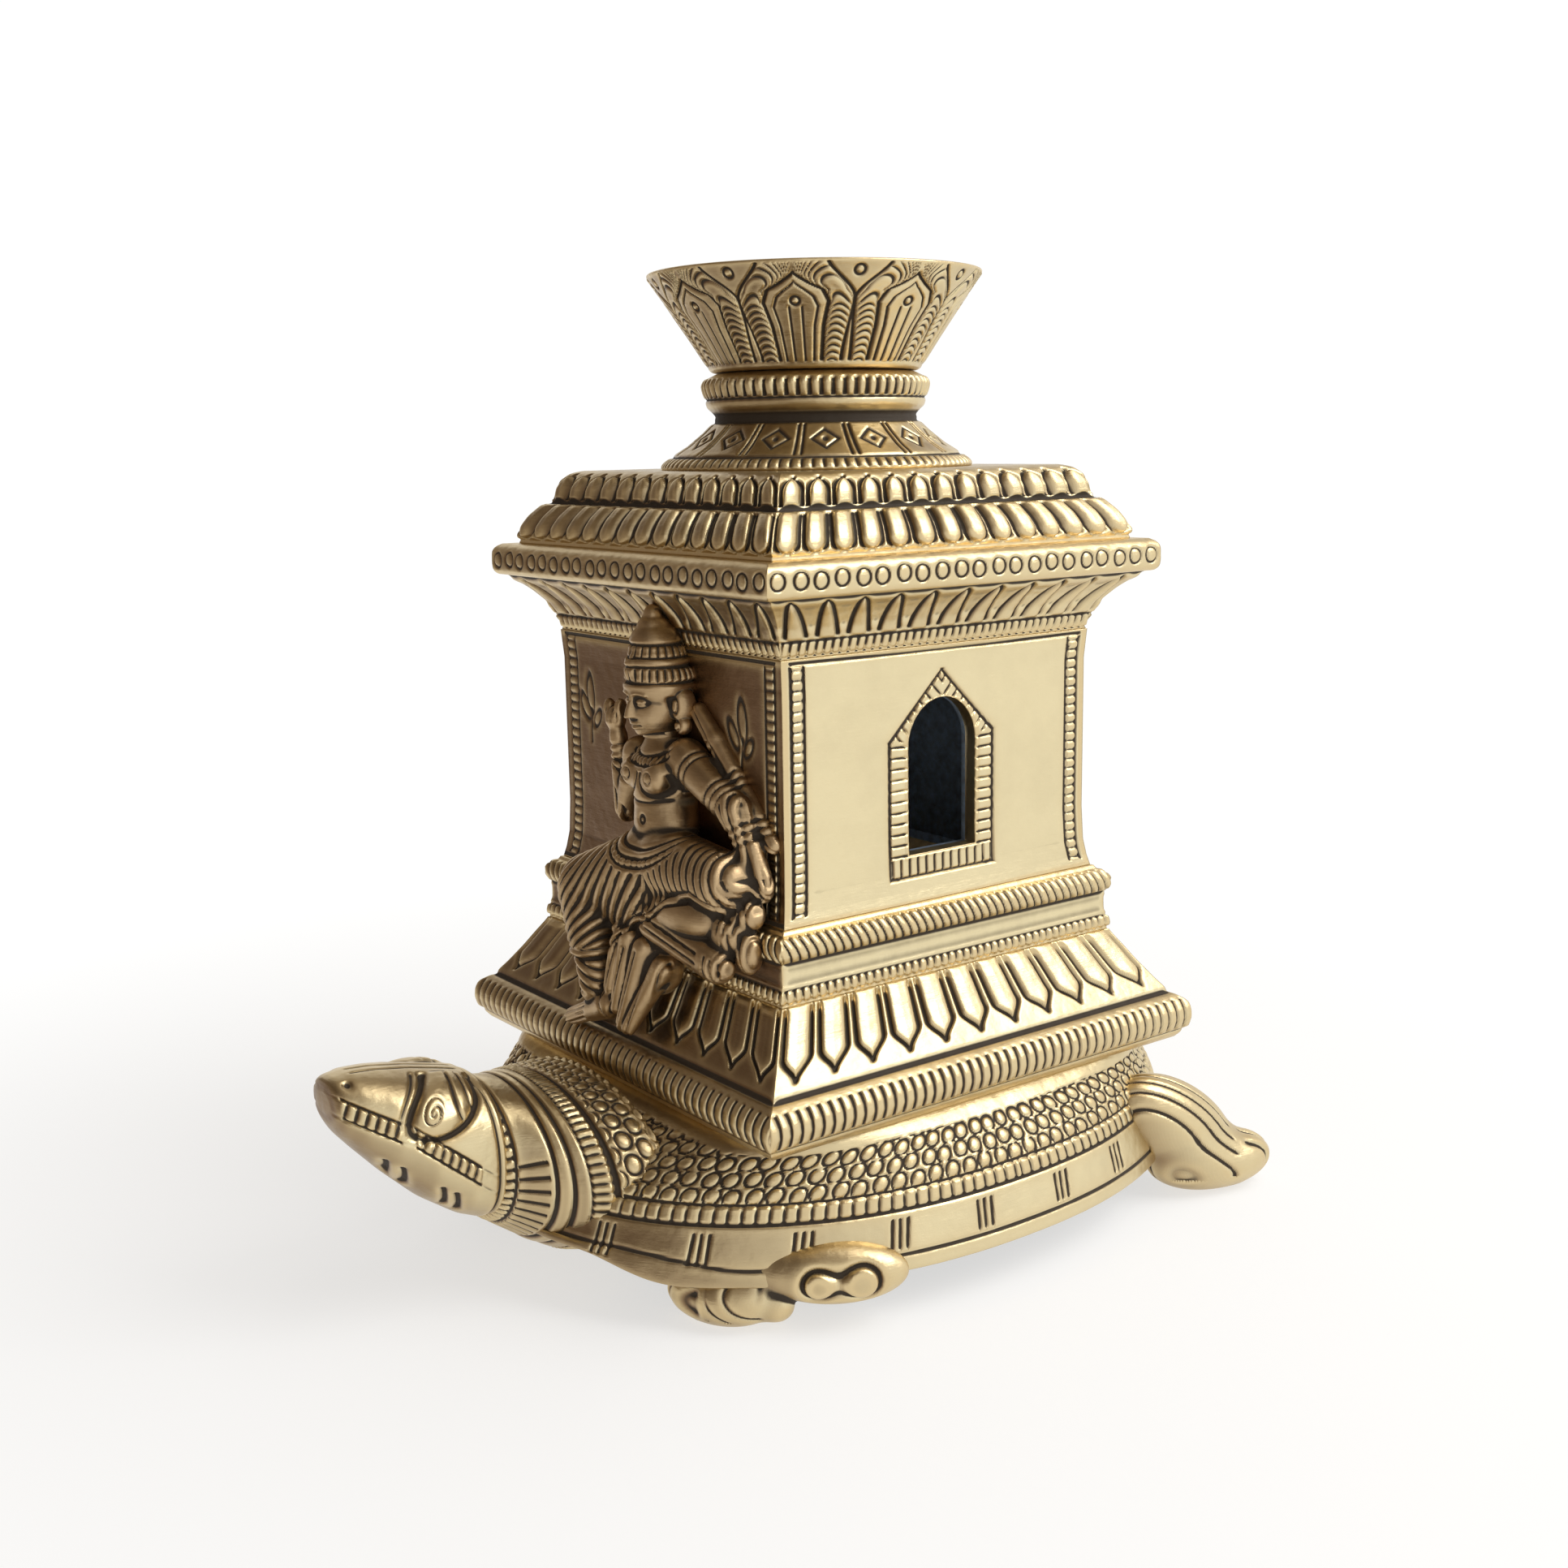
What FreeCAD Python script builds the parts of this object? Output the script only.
"""Brass tortoise candle stand: a hollow tortoise that carries a small square shrine with an arched
window in each side, and on its roof a lotus bowl for a candle or oil wick.

Row frame: millimetres, +Z up, the tortoise looks along -Y. The origin is on the floor, at the middle of
the object's length and width. The shrine's own vertical axis stands axis_y behind the origin.
"""
import FreeCAD, Part
import math
import os

import Sketcher

Vector = FreeCAD.Vector
doc = FreeCAD.newDocument("tortoise_candle_stand")

# ---------------------------------------------------------------------------------------------
# Driving dimensions, in millimetres and degrees
# ---------------------------------------------------------------------------------------------
DIMENSIONS = [
    ("axis_y", 10.2, "the shrine's axis, behind the origin"),
    # levels of the square tiers, from the floor up
    ("skirt_z", 6.0, "lower edge of the shell"),
    ("belt_z", 15.5, "middle of the shell's rope belt"),
    ("seat_z", 24.6, "top of the shell, which the shrine stands on"),
    ("rope_top_z", 31.4, "top of the plinth's rope edge"),
    ("plinth_top_z", 41.4, "top of the plinth's petal slope"),
    ("moulding_top_z", 51.4, "top of the base moulding"),
    ("wall_top_z", 87.2, "top of the four wall panels"),
    ("slab_bottom_z", 95.6, "lower edge of the cornice slab"),
    ("slab_top_z", 100.4, "top of the cornice slab"),
    ("petal_top_z", 106.6, "top of the roof's petal tier"),
    ("roof_top_z", 111.2, "flat top of the roof"),
    # half widths of the square tiers
    ("rope_half", 40.4, "rope edge"),
    ("plinth_foot_half", 38.4, "under the rope edge"),
    ("slope_half", 37.4, "foot of the petal slope"),
    ("moulding_half", 31.0, "base moulding"),
    ("wall_half", 28.0, "wall panels"),
    ("slab_half", 35.7, "cornice slab"),
    ("tier_half", 32.6, "foot of the petal tier"),
    ("roof_half", 28.6, "scallop tier"),
    ("chamber_half", 25.0, "the shrine's hollow"),
    ("recess_half", 18.6, "hollow under the roof"),
    ("recess_depth", 5.2, "hollow under the roof"),
    # window
    ("window_half", 6.3, "half width of each window"),
    ("window_sill_z", 58.0, "window sill"),
    ("window_spring_z", 73.4, "where the pointed arch starts"),
    ("window_peak_z", 79.6, "top of the pointed arch"),
    # shell
    ("shell_wall", 3.0, "thickness of the shell"),
    ("seat_plate", 3.6, "thickness of the shell's flat top"),
    ("seat_half", 37.6, "half width of the shell's flat top"),
    ("skirt_half_x", 47.0, "half width of the shell's lower edge"),
    ("skirt_half_y", 58.0, "half length of the shell's lower edge"),
    ("belt_half_x", 44.4, "half width at the belt"),
    ("belt_half_y", 55.0, "half length at the belt"),
    ("neck_joint_y", -62.0, "where the head joins the neck, along Y from the axis"),
    # lotus foot and bowl
    ("foot_radius", 23.2, "flared foot"),
    ("neck_radius", 14.6, "neck"),
    ("collar_radius", 16.6, "fluted collar"),
    ("collar_top_z", 125.0, "top of the foot casting, which the bowl sits on"),
    ("socket_radius", 6.05, "socket for the bowl's spigot"),
    ("socket_depth", 10.4, "socket for the bowl's spigot"),
    ("tail_radius", 5.0, "the foot's tail in the roof"),
    ("spigot_radius", 6.0, "the bowl's spigot"),
    ("spigot_length", 10.0, "the bowl's spigot"),
    ("bowl_base_radius", 15.8, "underside of the bowl"),
    ("rim_radius", 24.6, "bowl rim"),
    ("rim_z", 139.0, "top of the bowl"),
    ("bowl_wall", 1.9, "thickness of the bowl"),
    ("bowl_floor_z", 128.2, "inside floor of the bowl"),
    # tie rods
    ("rod_offset", 22.6, "tie rods, from the axis along X and along Y"),
    ("rod_radius", 1.5, "tie rods"),
    ("rod_hole_radius", 1.6, "clearance holes for the tie rods"),
    ("rod_bottom_z", 15.4, "lower end of the tie rods"),
    ("rod_top_z", 105.6, "upper end of the tie rods, in the roof"),
    ("nut_half", 2.75, "half width across flats"),
    ("nut_height", 2.6, "tie rod nut"),
    ("washer_radius", 3.2, "tie rod washer"),
    ("washer_height", 0.6, "tie rod washer"),
    ("foot_nut_half", 8.0, "half width across flats of the nut under the roof"),
    ("foot_nut_height", 3.0, "nut under the roof"),
    ("pin_radius", 1.2, "pins of the relief"),
    ("pin_depth", 2.2, "how far the pins reach into the relief"),
]
sheet = doc.addObject("Spreadsheet::Sheet", "Dimensions")
for row, (alias, value, note) in enumerate(DIMENSIONS, start=1):
    sheet.set(f"A{row}", note)
    sheet.set(f"B{row}", str(value))
    sheet.setAlias(f"B{row}", alias)
doc.recompute()


def dim(alias):
    """A driving dimension's value, for shapes that are made in code."""
    return float(sheet.get(alias))


def cell(expression):
    """The expression with each driving dimension's name made a reference to the sheet."""
    words = sorted((alias for alias, _, _ in DIMENSIONS), key=len, reverse=True)
    out, i = "", 0
    while i < len(expression):
        word = next((w for w in words if expression.startswith(w, i)), None)
        out += f"Dimensions.{word}" if word else expression[i]
        i += len(word) if word else 1
    return out


def bind(obj, **expressions):
    """Binds properties to the sheet; a double underscore stands for a dot in the property's path."""
    for prop, expression in expressions.items():
        obj.setExpression(prop.replace("__", "."), cell(expression))


def stand_on_axis(obj):
    """Puts an object that is modelled about the shrine's axis where that axis stands."""
    bind(obj, Placement__Base__y="axis_y")


# ---------------------------------------------------------------------------------------------
# PartDesign helpers
# ---------------------------------------------------------------------------------------------
def new_body(label):
    body = doc.addObject("PartDesign::Body", label)
    body.Label = label
    stand_on_axis(body)
    return body


def sketch_on(body, role, name, height=None):
    """A sketch on one of the body's origin planes, raised by height along its normal."""
    plane = next(f for f in body.Origin.OriginFeatures if f.Role == role)
    sketch = body.newObject("Sketcher::SketchObject", name)
    sketch.AttachmentSupport = (plane, [""])
    sketch.MapMode = "FlatFace"
    if height is not None:
        bind(sketch, AttachmentOffset__Base__z=height)
    return sketch


def square(sketch, half):
    """A square about the sketch's origin, whose half width is an expression."""
    guess = 30.0
    corners = [Vector(x, y, 0) for x, y in ((-guess, -guess), (guess, -guess), (guess, guess), (-guess, guess))]
    first = sketch.GeometryCount
    for i in range(4):
        sketch.addGeometry(Part.LineSegment(corners[i], corners[(i + 1) % 4]), False)
    for i in range(4):
        sketch.addConstraint(Sketcher.Constraint("Coincident", first + i, 2, first + (i + 1) % 4, 1))
    for i in (0, 2):
        sketch.addConstraint(Sketcher.Constraint("Horizontal", first + i))
        sketch.addConstraint(Sketcher.Constraint("Vertical", first + i + 1))
    sketch.addConstraint(Sketcher.Constraint("Equal", first, first + 1))
    sketch.addConstraint(Sketcher.Constraint("Symmetric", first, 1, first + 2, 1, -1, 1))
    width = sketch.addConstraint(Sketcher.Constraint("DistanceX", first, 1, first, 2, 2 * guess))
    sketch.setExpression(f"Constraints[{width}]", cell(f"2*({half})"))


def square_stack(body, levels):
    """A solid whose square section changes from level to level: (height, half width) expressions."""
    sketches = []
    for i, (height, half) in enumerate(levels):
        sketch = sketch_on(body, "XY_Plane", f"{body.Name}_level_{i}", height)
        square(sketch, half)
        sketches.append(sketch)
    loft = body.newObject("PartDesign::AdditiveLoft", f"{body.Name}_stack")
    loft.Profile = sketches[0]
    loft.Sections = sketches[1:]
    loft.Ruled = True
    return loft


def pocket_up(body, sketch, name, depth):
    """Cuts the sketch upwards, along +Z, by a depth expression."""
    doc.recompute()
    before = body.Shape.Volume
    pocket = body.newObject("PartDesign::Pocket", name)
    pocket.Profile = sketch
    pocket.Reversed = True
    bind(pocket, Length=depth)
    doc.recompute()
    assert body.Shape.Volume < before - 1e-3, f"{name} cuts nothing"
    return pocket


def hollow(body, half, bottom, depth, name="hollow"):
    """Cuts a square hollow upwards from a level."""
    sketch = sketch_on(body, "XY_Plane", f"{body.Name}_{name}_sketch", bottom)
    square(sketch, half)
    pocket_up(body, sketch, f"{body.Name}_{name}", depth)


def rod_holes(body, radius, bottom, depth):
    """Four round holes for the tie rods, cut upwards from a level."""
    sketch = sketch_on(body, "XY_Plane", f"{body.Name}_rod_holes_sketch", bottom)
    for i, (sx, sy) in enumerate(((1, 1), (-1, 1), (-1, -1), (1, -1))):
        at = Vector(sx * dim("rod_offset"), sy * dim("rod_offset"), 0)
        sketch.addGeometry(Part.Circle(at, Vector(0, 0, 1), dim("rod_hole_radius")), False)
        size = sketch.addConstraint(Sketcher.Constraint("Radius", i, dim("rod_hole_radius")))
        along_x = sketch.addConstraint(Sketcher.Constraint("DistanceX", -1, 1, i, 3, at.x))
        along_y = sketch.addConstraint(Sketcher.Constraint("DistanceY", -1, 1, i, 3, at.y))
        sketch.setExpression(f"Constraints[{size}]", cell(radius))
        sketch.setExpression(f"Constraints[{along_x}]", cell(f"{sx}*rod_offset"))
        sketch.setExpression(f"Constraints[{along_y}]", cell(f"{sy}*rod_offset"))
    pocket_up(body, sketch, f"{body.Name}_rod_holes", depth)


def profile(sketch, points):
    """A closed outline of straight lines through points, each a pair of expressions."""
    where = [Vector(*(float(doc.Dimensions.evalExpression(cell(c))) for c in pair), 0) for pair in points]
    count = len(points)
    for i in range(count):
        sketch.addGeometry(Part.LineSegment(where[i], where[(i + 1) % count]), False)
    for i in range(count):
        sketch.addConstraint(Sketcher.Constraint("Coincident", i, 2, (i + 1) % count, 1))
    for i, (across, along) in enumerate(points):
        for kind, value, expression in (("DistanceX", where[i].x, across), ("DistanceY", where[i].y, along)):
            number = sketch.addConstraint(Sketcher.Constraint(kind, -1, 1, i, 1, value))
            sketch.setExpression(f"Constraints[{number}]", cell(expression))


def turned(label, points):
    """A body turned about the shrine's axis from a profile of (radius, height) expressions."""
    body = new_body(label)
    sketch = sketch_on(body, "XZ_Plane", f"{label}_profile")
    profile(sketch, points)
    turn = body.newObject("PartDesign::Revolution", f"{label}_turn")
    turn.Profile = sketch
    turn.ReferenceAxis = (sketch, ["V_Axis"])
    turn.Angle = 360
    return body


# ---------------------------------------------------------------------------------------------
# Square tiers of the shrine: ring castings, open through the middle
# ---------------------------------------------------------------------------------------------
def make_plinth():
    """Rope edge below, sloping petal skirt above."""
    body = new_body("plinth")
    square_stack(body, [
        ("seat_z", "plinth_foot_half"),
        ("seat_z+1.2", "rope_half-1.1"),
        ("seat_z+3.4", "rope_half"),
        ("rope_top_z-1.2", "rope_half-1.1"),
        ("rope_top_z", "slope_half+0.6"),
        ("rope_top_z+0.8", "slope_half"),
        ("plinth_top_z-3.6", "moulding_half+2.3"),
        ("plinth_top_z", "moulding_half+0.2"),
    ])
    hollow(body, "chamber_half", "seat_z", "plinth_top_z-seat_z")


def make_base_moulding():
    """Bead row, plain band and rope ring, from below."""
    body = new_body("base_moulding")
    square_stack(body, [
        ("plinth_top_z", "moulding_half"),
        ("plinth_top_z+2.6", "moulding_half-0.2"),
        ("moulding_top_z-4.2", "moulding_half-0.5"),
        ("moulding_top_z-3.4", "moulding_half+0.3"),
        ("moulding_top_z-1.0", "moulding_half+0.1"),
        ("moulding_top_z", "wall_half+1.2"),
    ])
    hollow(body, "chamber_half", "plinth_top_z", "moulding_top_z-plinth_top_z")


def make_cornice():
    """Cavetto of hanging petals under a slab with a row of rings."""
    body = new_body("cornice")
    square_stack(body, [
        ("wall_top_z", "wall_half+0.3"),
        ("wall_top_z+2.4", "wall_half+0.7"),
        ("wall_top_z+5.2", "wall_half+3.2"),
        ("slab_bottom_z-0.6", "slab_half-2.2"),
        ("slab_bottom_z", "slab_half-0.6"),
        ("slab_bottom_z+1.0", "slab_half"),
        ("slab_top_z-0.8", "slab_half-0.1"),
        ("slab_top_z", "slab_half-1.0"),
    ])
    hollow(body, "chamber_half", "wall_top_z", "slab_top_z-wall_top_z")


def make_roof():
    """Petal tier and scallop tier, closed above, with a hollow underneath and blind holes for the rods."""
    body = new_body("roof")
    square_stack(body, [
        ("slab_top_z", "tier_half"),
        ("slab_top_z+2.6", "tier_half-0.5"),
        ("slab_top_z+4.8", "tier_half-2.0"),
        ("petal_top_z", "roof_half+0.2"),
        ("roof_top_z-1.4", "roof_half-1.0"),
        ("roof_top_z", "roof_half-2.4"),
    ])
    hollow(body, "recess_half", "slab_top_z", "recess_depth")
    rod_holes(body, "rod_hole_radius", "slab_top_z", "rod_top_z-slab_top_z")
    sketch = sketch_on(body, "XY_Plane", "roof_tail_hole_sketch", "slab_top_z+recess_depth")
    sketch.addGeometry(Part.Circle(Vector(0, 0, 0), Vector(0, 0, 1), dim("tail_radius")), False)
    sketch.addConstraint(Sketcher.Constraint("Coincident", 0, 3, -1, 1))
    size = sketch.addConstraint(Sketcher.Constraint("Radius", 0, dim("tail_radius")))
    sketch.setExpression(f"Constraints[{size}]", cell("tail_radius"))
    pocket_up(body, sketch, "roof_tail_hole", "roof_top_z-slab_top_z-recess_depth")


# ---------------------------------------------------------------------------------------------
# Wall panels: one vertical section, mitred at both ends
# ---------------------------------------------------------------------------------------------
def make_panel(label, turn_deg, window=False, pins=False):
    """A wall panel modelled facing -Y and turned about the axis."""
    body = new_body(label)
    section = sketch_on(body, "YZ_Plane", f"{label}_section")
    profile(section, [
        ("-chamber_half", "moulding_top_z"),
        ("-wall_half-1.0", "moulding_top_z"),
        ("-wall_half-0.3", "moulding_top_z+3.6"),
        ("-wall_half", "moulding_top_z+9"),
        ("-wall_half", "wall_top_z-4"),
        ("-wall_half-0.3", "wall_top_z"),
        ("-chamber_half", "wall_top_z"),
    ])
    pad = body.newObject("PartDesign::Pad", f"{label}_pad")
    pad.Profile = section
    pad.SideType = "Symmetric"
    bind(pad, Length="2*wall_half+8")
    for side, sign in (("right", 1), ("left", -1)):
        mitre = sketch_on(body, "XY_Plane", f"{label}_mitre_{side}", "moulding_top_z-1")
        corners = (("0.5*wall_half", "-0.5*wall_half"), ("wall_half+6", "-wall_half-6"), ("wall_half+6", "-0.5*wall_half"))
        profile(mitre, [(f"{sign}*({x})", y) for x, y in corners])
        pocket_up(body, mitre, f"{label}_mitre_cut_{side}", "wall_top_z-moulding_top_z+2")
    if window:
        opening = sketch_on(body, "XZ_Plane", f"{label}_window_sketch", "chamber_half-1")
        profile(opening, [
            ("-window_half", "window_sill_z"),
            ("window_half", "window_sill_z"),
            ("window_half", "window_spring_z"),
            ("0.62*window_half", "0.4*window_spring_z+0.6*window_peak_z"),
            ("0", "window_peak_z"),
            ("-0.62*window_half", "0.4*window_spring_z+0.6*window_peak_z"),
            ("-window_half", "window_spring_z"),
        ])
        pocket_up(body, opening, f"{label}_window", "wall_half-chamber_half+6")
    if pins:
        holes = sketch_on(body, "XZ_Plane", f"{label}_pin_holes_sketch", "chamber_half-1")
        for i, (x, z) in enumerate(PIN_PLACES):
            holes.addGeometry(Part.Circle(Vector(x, z, 0), Vector(0, 0, 1), dim("pin_radius")), False)
            size = holes.addConstraint(Sketcher.Constraint("Radius", i, dim("pin_radius")))
            holes.addConstraint(Sketcher.Constraint("DistanceX", -1, 1, i, 3, x))
            holes.addConstraint(Sketcher.Constraint("DistanceY", -1, 1, i, 3, z))
            holes.setExpression(f"Constraints[{size}]", cell("pin_radius"))
        pocket_up(body, holes, f"{label}_pin_holes", "wall_half-chamber_half+6")
    body.Placement.Rotation = FreeCAD.Rotation(Vector(0, 0, 1), turn_deg)
    return body


# ---------------------------------------------------------------------------------------------
# Round castings on the roof
# ---------------------------------------------------------------------------------------------
def make_lotus_foot():
    """Flared foot, waisted neck and fluted collar, with a tail through the roof and a socket on top."""
    turned("lotus_foot", [
        ("0", "slab_top_z+1.0"),
        ("tail_radius", "slab_top_z+1.0"),
        ("tail_radius", "roof_top_z"),
        ("foot_radius", "roof_top_z"),
        ("foot_radius", "roof_top_z+1.0"),
        ("foot_radius-3.0", "roof_top_z+2.6"),
        ("foot_radius-6.6", "roof_top_z+5.0"),
        ("neck_radius", "roof_top_z+7.4"),
        ("neck_radius", "roof_top_z+8.2"),
        ("collar_radius-0.4", "roof_top_z+9.2"),
        ("collar_radius", "roof_top_z+10.8"),
        ("collar_radius-0.5", "collar_top_z-1.6"),
        ("neck_radius", "collar_top_z-0.8"),
        ("neck_radius", "collar_top_z"),
        ("socket_radius", "collar_top_z"),
        ("socket_radius", "collar_top_z-socket_depth"),
        ("0", "collar_top_z-socket_depth"),
    ])


def make_lotus_bowl():
    """Flaring bowl with a flat inside floor and a plain spigot that drops into the foot's socket."""
    turned("lotus_bowl", [
        ("0", "collar_top_z-spigot_length"),
        ("spigot_radius", "collar_top_z-spigot_length"),
        ("spigot_radius", "collar_top_z"),
        ("bowl_base_radius-0.6", "collar_top_z"),
        ("bowl_base_radius+0.4", "collar_top_z+1.4"),
        ("bowl_base_radius+3.8", "collar_top_z+6.0"),
        ("rim_radius-1.2", "rim_z-2.4"),
        ("rim_radius", "rim_z-0.5"),
        ("rim_radius-0.5", "rim_z"),
        ("rim_radius-bowl_wall", "rim_z"),
        ("rim_radius-bowl_wall-0.9", "rim_z-2.4"),
        ("bowl_base_radius+2.0", "collar_top_z+6.2"),
        ("bowl_base_radius-1.0", "bowl_floor_z"),
        ("0", "bowl_floor_z"),
    ])


# ---------------------------------------------------------------------------------------------
# Tortoise
# ---------------------------------------------------------------------------------------------
def superellipse(half_x, half_y, power, z, centre_y=0.0):
    """A closed smooth outline between an ellipse (power 2) and a rounded square (power above 5)."""
    points = []
    for i in range(32):
        a = 2 * math.pi * i / 32
        c, s = math.cos(a), math.sin(a)
        reach = (abs(c) ** power + abs(s) ** power) ** (-1 / power)
        points.append(Vector(half_x * c * reach, centre_y + half_y * s * reach, z))
    curve = Part.BSplineCurve()
    curve.interpolate(points, PeriodicFlag=True)
    return Part.Wire(curve.toShape())


def shell_outlines():
    """The shell's outlines from its lower edge to its flat top: height, half width, half length, power."""
    belt, skirt, seat = dim("belt_z"), dim("skirt_z"), dim("seat_z")
    rise = seat - belt
    return [
        (skirt, dim("skirt_half_x"), dim("skirt_half_y"), 2.2),
        (belt - 3.0, dim("belt_half_x") + 0.9, dim("belt_half_y") + 1.1, 2.2),
        (belt, dim("belt_half_x"), dim("belt_half_y"), 2.2),
        (belt + 0.24 * rise, dim("belt_half_x") - 1.0, dim("belt_half_y") - 2.2, 2.35),
        (belt + 0.50 * rise, dim("belt_half_x") - 2.6, dim("belt_half_y") - 6.0, 2.6),
        (belt + 0.76 * rise, dim("seat_half") + 2.0, dim("seat_half") + 6.0, 3.3),
        (seat, dim("seat_half"), dim("seat_half") + 0.6, 5.5),
    ]


def shell_stack(inset, bottom, top):
    """A solid through the shell's outlines, all moved inwards by inset and fitted between two levels."""
    rows = shell_outlines()
    low, high = rows[0][0], rows[-1][0]
    wires = []
    for z, half_x, half_y, power in rows:
        level = bottom + (z - low) / (high - low) * (top - bottom)
        wires.append(superellipse(half_x - inset, half_y - inset, power, level))
    return Part.makeLoft(wires, True, True)


def shell_envelope():
    """The shell's outer shape, without its hollow."""
    return shell_stack(0.0, dim("skirt_z"), dim("seat_z"))


def make_carapace():
    """Hollow shell, open below, with a flat seat for the shrine and four holes for the tie rods."""
    inner_top = dim("seat_z") - dim("seat_plate")
    shape = shell_envelope().cut(shell_stack(dim("shell_wall"), dim("skirt_z") - 0.5, inner_top))
    for sx in (1, -1):
        for sy in (1, -1):
            at = Vector(sx * dim("rod_offset"), sy * dim("rod_offset"), inner_top - 1)
            shape = shape.cut(Part.makeCylinder(dim("rod_hole_radius"), dim("seat_plate") + 2, at))
    return add_feature("carapace", shape)


def add_feature(label, shape):
    """A Part::Feature with the shape, standing on the shrine's axis."""
    feature = doc.addObject("Part::Feature", label)
    feature.Label = label
    feature.Shape = shape
    stand_on_axis(feature)
    return feature


def oval(y, z, half_x, half_z):
    """An elliptical outline across the tortoise's length."""
    big, small = max(half_x, half_z), min(half_x, half_z)
    curve = Part.Ellipse(Vector(0, 0, 0), big, small)
    edge = curve.toShape()
    edge.rotate(Vector(0, 0, 0), Vector(1, 0, 0), 90)
    if half_z > half_x:
        edge.rotate(Vector(0, 0, 0), Vector(0, 1, 0), 90)
    edge.translate(Vector(0, y, z))
    return Part.Wire(edge)


def trimmed(shape, cutter):
    """The largest solid that is left of the shape outside the cutter."""
    return max(shape.cut(cutter).Solids, key=lambda solid: solid.Volume)


def make_head():
    """Raised head, from its joint with the neck to the tip of the nose."""
    rows = [
        (dim("neck_joint_y"), 20.6, 10.2, 10.2),
        (-66.0, 22.2, 10.8, 10.0),
        (-71.0, 24.5, 10.2, 9.0),
        (-76.0, 27.5, 8.4, 7.0),
        (-80.0, 30.2, 6.0, 4.7),
        (-82.4, 31.8, 3.2, 2.6),
    ]
    add_feature("head", Part.makeLoft([oval(*row) for row in rows], True, False))


def make_neck(shell):
    """Neck root: a sleeve that widens from the head's joint back into the front of the shell."""
    rows = [
        (-40.0, 16.6, 21.0, 12.6),
        (-52.0, 16.8, 18.6, 12.4),
        (-58.0, 18.4, 13.4, 11.2),
        (dim("neck_joint_y"), 20.6, 10.2, 10.2),
    ]
    neck = Part.makeLoft([oval(*row) for row in rows], True, False)
    add_feature("neck_collar", trimmed(neck, shell))


def limb(start, end, radius_start, radius_end):
    """A rounded tapering limb between two points: a profile with round ends, turned about its own axis."""
    axis = end - start
    far = axis.Length
    slant = math.sqrt(0.5)
    outline = Part.Wire([
        Part.Arc(Vector(0, 0, -radius_start), Vector(radius_start * slant, 0, -radius_start * slant),
                 Vector(radius_start, 0, 0)).toShape(),
        Part.LineSegment(Vector(radius_start, 0, 0), Vector(radius_end, 0, far)).toShape(),
        Part.Arc(Vector(radius_end, 0, far), Vector(radius_end * slant, 0, far + radius_end * slant),
                 Vector(0, 0, far + radius_end)).toShape(),
        Part.LineSegment(Vector(0, 0, far + radius_end), Vector(0, 0, -radius_start)).toShape(),
    ])
    solid = Part.Face(outline).revolve(Vector(0, 0, 0), Vector(0, 0, 1), 360)
    solid.Placement = FreeCAD.Placement(start, FreeCAD.Rotation(Vector(0, 0, 1), axis))
    return solid


def make_feet(shell):
    """Right-hand feet, each a leg and a paw fitted to the shell, and their mirror images on the left."""
    floor = Part.makeBox(240, 240, 40, Vector(-120, -120, -40))
    legs = {
        "front": [
            (Vector(34.6, -38.2, 4.2), Vector(27.4, -43.4, 3.7), 5.0, 4.4),
            (Vector(44.6, -22.6, 8.0), Vector(36.2, -36.0, 7.2), 4.6, 5.0),
        ],
        "rear": [
            (Vector(40.2, 39.0, 4.4), Vector(42.4, 49.4, 3.6), 5.2, 4.5),
            (Vector(37.4, 30.0, 13.0), Vector(40.4, 41.5, 8.4), 6.6, 5.4),
        ],
    }
    for place, parts in legs.items():
        first, second = [limb(*one) for one in parts]
        right = trimmed(first.fuse(second).cut(floor), shell)
        left = right.mirror(Vector(0, 0, 0), Vector(1, 0, 0))
        add_feature(f"{place}_right_foot", right)
        add_feature(f"{place}_left_foot", left)


def make_tail(shell):
    """Short tapering tail under the shell's rear edge."""
    rows = [(48.0, 10.2, 5.0, 3.4), (56.0, 9.6, 4.4, 3.2), (60.0, 8.6, 2.8, 2.2), (62.0, 7.9, 1.0, 0.9)]
    outside = Part.makeBox(40, 40, 40, Vector(-20, 52, 0))
    tail = Part.makeLoft([oval(*row) for row in rows], True, False).common(outside)
    add_feature("tail", trimmed(tail, shell))


# ---------------------------------------------------------------------------------------------
# Seated relief figure on the front, and its pins
# ---------------------------------------------------------------------------------------------
PIN_PLACES = ((3.0, 82.0), (0.0, 66.0), (4.0, 57.0))


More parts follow.
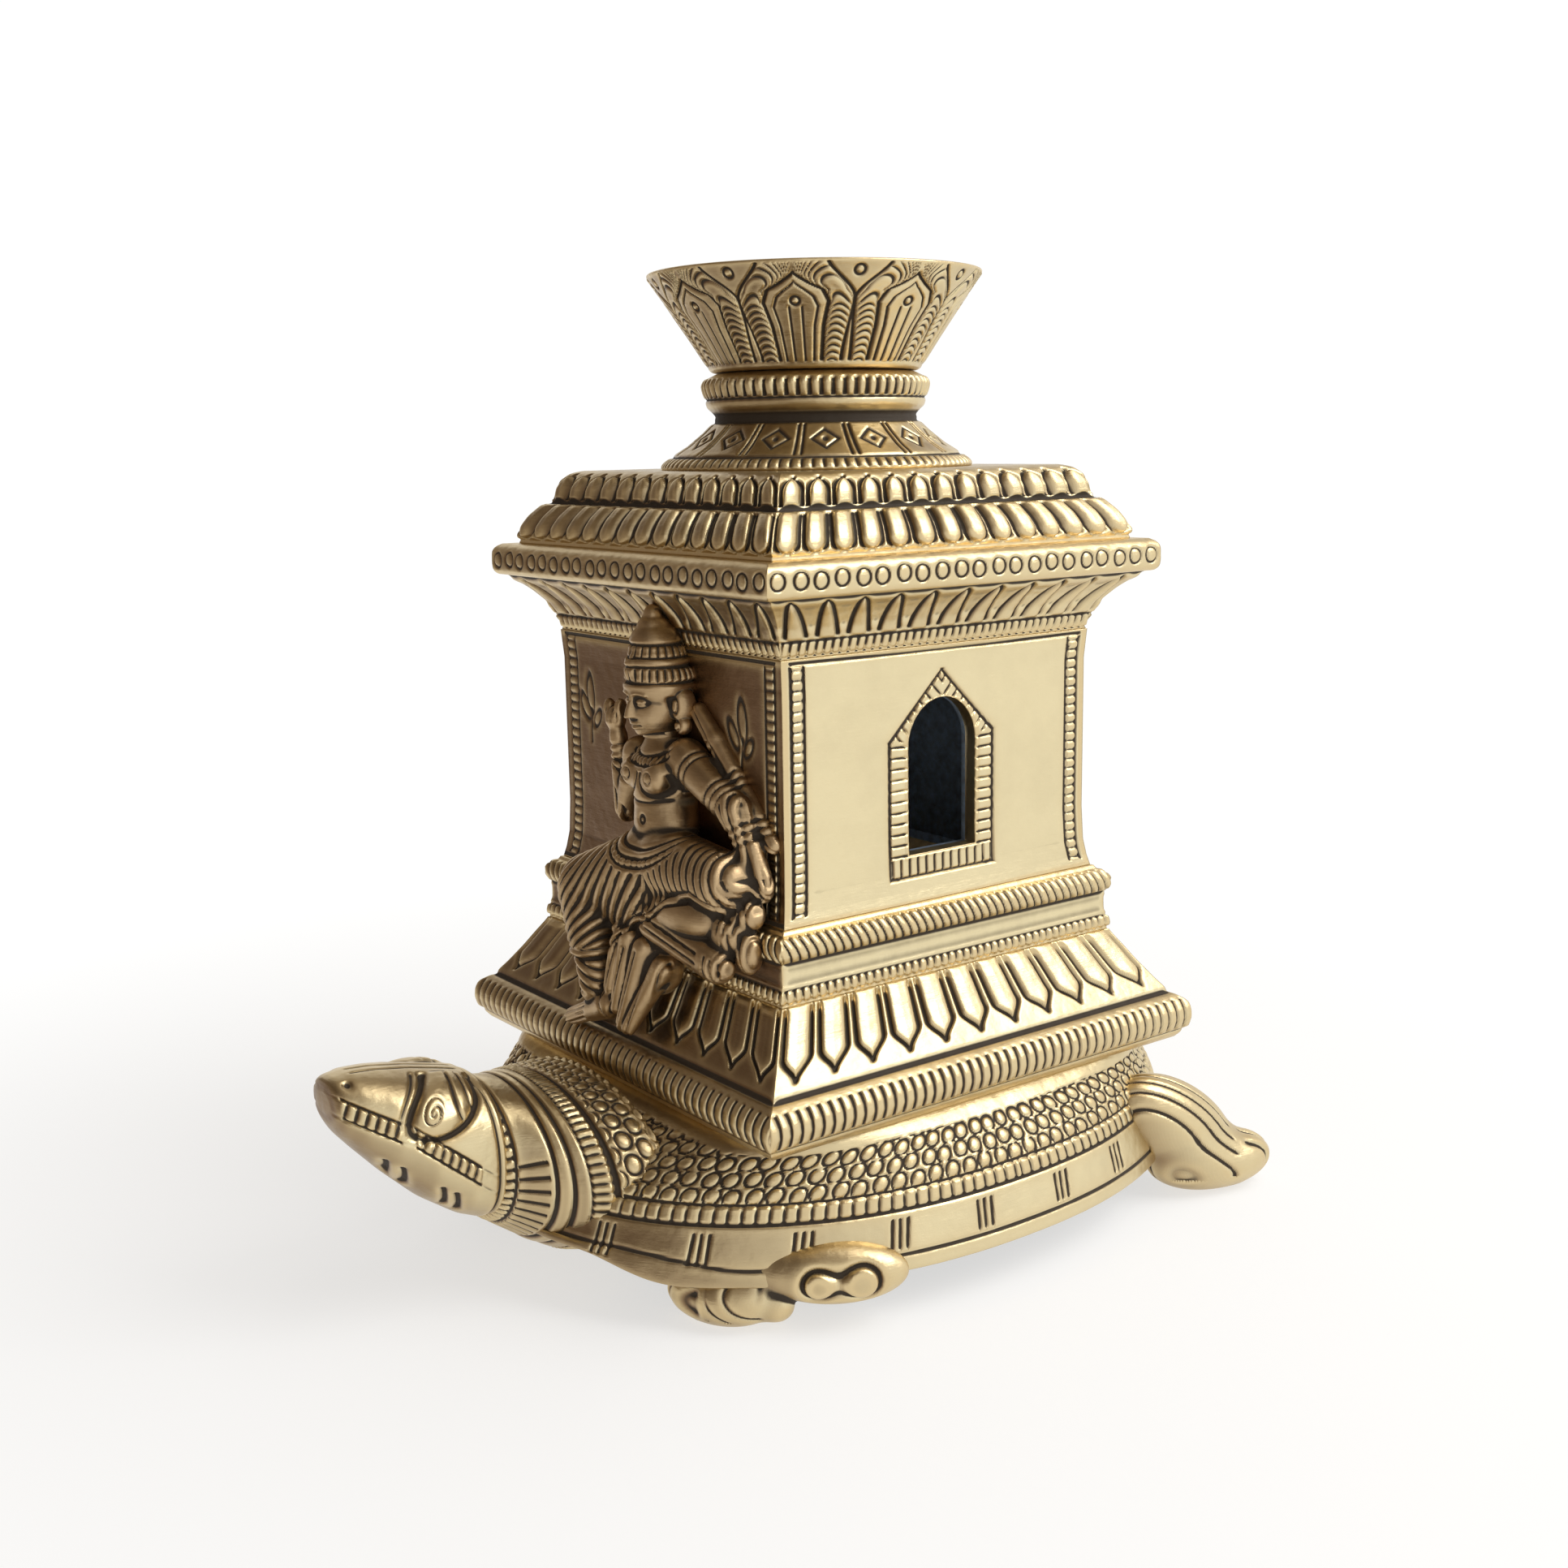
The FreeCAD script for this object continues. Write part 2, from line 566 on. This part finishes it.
def make_relief():
    """The figure as one casting: crown, head, trunk, arms, folded leg, hanging leg and lotus stool."""
    face = -dim("wall_half")
    at = lambda x, depth, z: Vector(x, face - depth, z)
    limbs = [
        (at(4.0, 2.9, 86.0), at(3.6, 4.0, 92.6), 4.6, 2.2),
        (at(4.0, 3.2, 81.4), at(4.0, 3.3, 79.6), 5.3, 4.9),
        (at(3.4, 2.5, 77.4), at(3.1, 2.2, 71.4), 2.9, 3.3),
        (at(2.6, 2.7, 69.8), at(1.8, 3.5, 58.0), 6.1, 5.0),
        (at(8.6, 1.9, 71.8), at(17.4, 1.7, 66.8), 2.9, 2.3),
        (at(17.6, 1.6, 66.6), at(23.6, 1.4, 55.4), 2.5, 1.7),
        (at(-4.2, 1.9, 71.4), at(-9.2, 2.3, 63.2), 2.9, 2.2),
        (at(-9.5, 2.2, 62.8), at(-11.8, 2.6, 75.8), 2.4, 1.7),
        (at(1.4, 4.9, 54.2), at(16.8, 4.6, 53.4), 5.9, 4.4),
        (at(0.0, 5.1, 53.2), at(-12.4, 7.4, 50.6), 6.3, 4.7),
        (at(-12.8, 7.5, 49.8), at(-5.2, 10.2, 35.0), 5.0, 3.0),
        (at(-5.0, 10.5, 34.0), at(-11.0, 11.8, 31.6), 2.5, 1.6),
        (at(14.2, 5.2, 50.6), at(2.0, 6.6, 46.2), 4.1, 2.6),
        (at(2.4, 5.9, 46.0), at(11.0, 5.2, 43.2), 3.7, 3.1),
    ]
    pieces = [limb(*one) for one in limbs]
    figure = pieces[0].fuse(pieces[1:])
    axis_move = Vector(0, dim("axis_y"), 0)
    for name in ("front_panel", "base_moulding", "plinth", "cornice"):
        neighbour = doc.getObject(name).Shape.copy()
        neighbour.translate(-axis_move)
        figure = figure.cut(neighbour)
    inside = Part.makeBox(60, 60, 120, Vector(-30, face + 0.0, 20))
    figure = figure.cut(inside)
    figure = max(figure.Solids, key=lambda solid: solid.Volume)
    pins = [
        Part.makeCylinder(dim("pin_radius"), dim("wall_half") - dim("chamber_half") + dim("pin_depth"),
                          Vector(x, -dim("chamber_half"), z), Vector(0, -1, 0))
        for x, z in PIN_PLACES
    ]
    figure = figure.cut(pins)
    add_feature("relief_figure", max(figure.Solids, key=lambda solid: solid.Volume))
    add_feature("relief_pins", Part.makeCompound(pins))


# ---------------------------------------------------------------------------------------------
# Tie rods with their washers and nuts
# ---------------------------------------------------------------------------------------------
def rod_places():
    offset = dim("rod_offset")
    return [(sx * offset, sy * offset) for sx in (1, -1) for sy in (1, -1)]


def ring_at(x, y, z, height, outer, inner_radius):
    """A plate from an outer face, raised to its height, with a round hole on the rod's line."""
    solid = outer.extrude(Vector(0, 0, height))
    solid.translate(Vector(x, y, z))
    return solid.cut(Part.makeCylinder(inner_radius, height + 2, Vector(x, y, z - 1)))


def make_foot_nut():
    """The thin nut that holds the lotus foot's tail under the roof."""
    corner = dim("foot_nut_half") / math.cos(math.pi / 6)
    ring = [Vector(corner * math.cos(math.pi * k / 3), corner * math.sin(math.pi * k / 3), 0) for k in range(7)]
    underside = dim("slab_top_z") + dim("recess_depth") - dim("foot_nut_height")
    add_feature("foot_nut", ring_at(0, 0, underside, dim("foot_nut_height"),
                                    Part.Face(Part.makePolygon(ring)), dim("tail_radius")))


def make_tie_rods():
    """Four rods that clamp shell, plinth, moulding, walls and cornice to the roof."""
    underside = dim("seat_z") - dim("seat_plate")
    washer_z = underside - dim("washer_height")
    nut_z = washer_z - dim("nut_height")
    washer_face = Part.Face(Part.Wire(Part.Circle(Vector(), Vector(0, 0, 1), dim("washer_radius")).toShape()))
    corner = dim("nut_half") / math.cos(math.pi / 6)
    ring = [Vector(corner * math.cos(math.pi * k / 3), corner * math.sin(math.pi * k / 3), 0) for k in range(7)]
    nut_face = Part.Face(Part.makePolygon(ring))
    bore = dim("rod_radius") + 0.05
    rods, washers, nuts = [], [], []
    for x, y in rod_places():
        length = dim("rod_top_z") - dim("rod_bottom_z")
        rods.append(Part.makeCylinder(dim("rod_radius"), length, Vector(x, y, dim("rod_bottom_z"))))
        washers.append(ring_at(x, y, washer_z, dim("washer_height"), washer_face, bore))
        nuts.append(ring_at(x, y, nut_z, dim("nut_height"), nut_face, bore))
    add_feature("tie_rods", Part.makeCompound(rods))
    add_feature("tie_rod_washers", Part.makeCompound(washers))
    add_feature("tie_rod_nuts", Part.makeCompound(nuts))


# ---------------------------------------------------------------------------------------------
# Build, check and write
# ---------------------------------------------------------------------------------------------
make_plinth()
make_base_moulding()
make_cornice()
make_roof()
make_panel("front_panel", 0, pins=True)
make_panel("right_panel", 90, window=True)
make_panel("rear_panel", 180)
make_panel("left_panel", 270, window=True)
make_lotus_foot()
make_lotus_bowl()
envelope = shell_envelope()
make_carapace()
make_head()
make_neck(envelope)
make_feet(envelope)
make_tail(envelope)
doc.recompute()
make_relief()
make_foot_nut()
make_tie_rods()
doc.recompute()

NODES = [
    "carapace", "head", "neck_collar", "front_right_foot", "front_left_foot", "rear_right_foot",
    "rear_left_foot", "tail", "plinth", "base_moulding", "front_panel", "right_panel", "rear_panel",
    "left_panel", "cornice", "roof", "lotus_foot", "foot_nut", "lotus_bowl", "relief_figure", "relief_pins",
    "tie_rods", "tie_rod_washers", "tie_rod_nuts",
]
for obj in doc.Objects:
    bad = [state for state in obj.State if state in ("Invalid", "Error")]
    assert not bad, f"{obj.Name} is {bad}"
os.makedirs("parts", exist_ok=True)
low, high = Vector(1e9, 1e9, 1e9), Vector(-1e9, -1e9, -1e9)
for node in NODES:
    shape = doc.getObject(node).Shape
    assert not shape.isNull() and shape.isValid(), f"{node} has no valid shape"
    assert shape.Solids, f"{node} has no solid"
    shape.exportStep(f"parts/{node}.step")
    box = shape.BoundBox
    low = Vector(min(low.x, box.XMin), min(low.y, box.YMin), min(low.z, box.ZMin))
    high = Vector(max(high.x, box.XMax), max(high.y, box.YMax), max(high.z, box.ZMax))
    print(f"{node:18s} solids {len(shape.Solids)}  volume {shape.Volume / 1000:7.2f} cm3")
print("overall box, mm:", [round(v, 2) for v in (*low, *high)])
